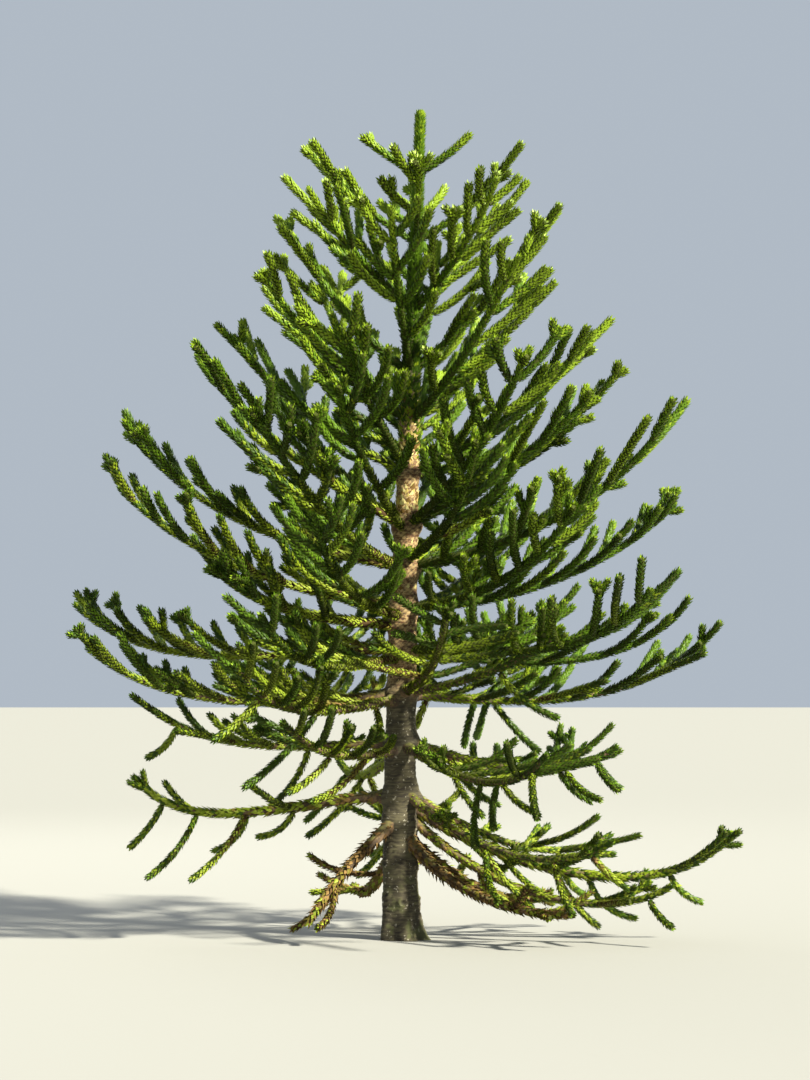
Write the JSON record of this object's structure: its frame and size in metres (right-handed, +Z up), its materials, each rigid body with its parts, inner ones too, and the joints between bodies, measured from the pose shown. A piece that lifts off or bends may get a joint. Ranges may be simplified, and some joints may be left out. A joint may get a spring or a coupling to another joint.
{
  "type": "monkey puzzle tree",
  "caption": "Young monkey puzzle tree: one straight trunk with whorls of limbs, each a fishbone of thick upturned leafy shoots, open crown, drooping lowest limbs.",
  "frame": {"origin": "middle of the flat cut under the trunk, at ground level", "axes": "+Z up along the trunk, +X to the right of someone who looks along +Y, as in the picture"},
  "size_m": [4.4766, 3.8254, 5.3011],
  "materials": {
    "trunk_bark": "rough grey-brown bark with rings and old leaf scars",
    "limb_bark": "rough dark brown bark with shaggy dead leaves",
    "foliage": "stiff, slightly glossy, dark green pointed leaves"
  },
  "bodies": {
    "root": {"bough_01_front_left": "limb_bark", "bough_01_front_right": "limb_bark", "bough_02_back": "limb_bark", "bough_02_left": "limb_bark", "bough_02_right": "limb_bark", "bough_03_back_right": "limb_bark", "bough_03_front_right": "limb_bark", "bough_03_left": "limb_bark", "bough_04_back_left": "limb_bark", "bough_04_front": "limb_bark", "bough_04_left": "limb_bark", "bough_04_right": "limb_bark", "foliage_01_front_left": "foliage", "foliage_01_front_right": "foliage", "foliage_02_back": "foliage", "foliage_02_left": "foliage", "foliage_02_right": "foliage", "foliage_03_back_right": "foliage", "foliage_03_front_right": "foliage", "foliage_03_left": "foliage", "foliage_04_back_left": "foliage", "foliage_04_front": "foliage", "foliage_04_left": "foliage", "foliage_04_right": "foliage", "foliage_05_back_right": "foliage", "foliage_05_front_right": "foliage", "foliage_05_left": "foliage", "foliage_06_back": "foliage", "foliage_06_left": "foliage", "foliage_06_right": "foliage", "foliage_07_back": "foliage", "foliage_07_front_left": "foliage", "foliage_07_left": "foliage", "foliage_07_right": "foliage", "foliage_08_back_left": "foliage", "foliage_08_back_right": "foliage", "foliage_08_front_right": "foliage", "foliage_08_left": "foliage", "foliage_09_back": "foliage", "foliage_09_front_left": "foliage", "foliage_09_left": "foliage", "foliage_09_right": "foliage", "foliage_10_back_left": "foliage", "foliage_10_back_right": "foliage", "foliage_10_front_right": "foliage", "foliage_10_left": "foliage", "foliage_11_back": "foliage", "foliage_11_front": "foliage", "foliage_11_left": "foliage", "foliage_11_right": "foliage", "foliage_12_back_left": "foliage", "foliage_12_back_right": "foliage", "foliage_12_front_left": "foliage", "foliage_12_front_right": "foliage", "foliage_13_back": "foliage", "foliage_13_front": "foliage", "foliage_13_left": "foliage", "foliage_13_right": "foliage", "foliage_leader": "foliage", "trunk": "trunk_bark"}
  },
  "joints": []
}
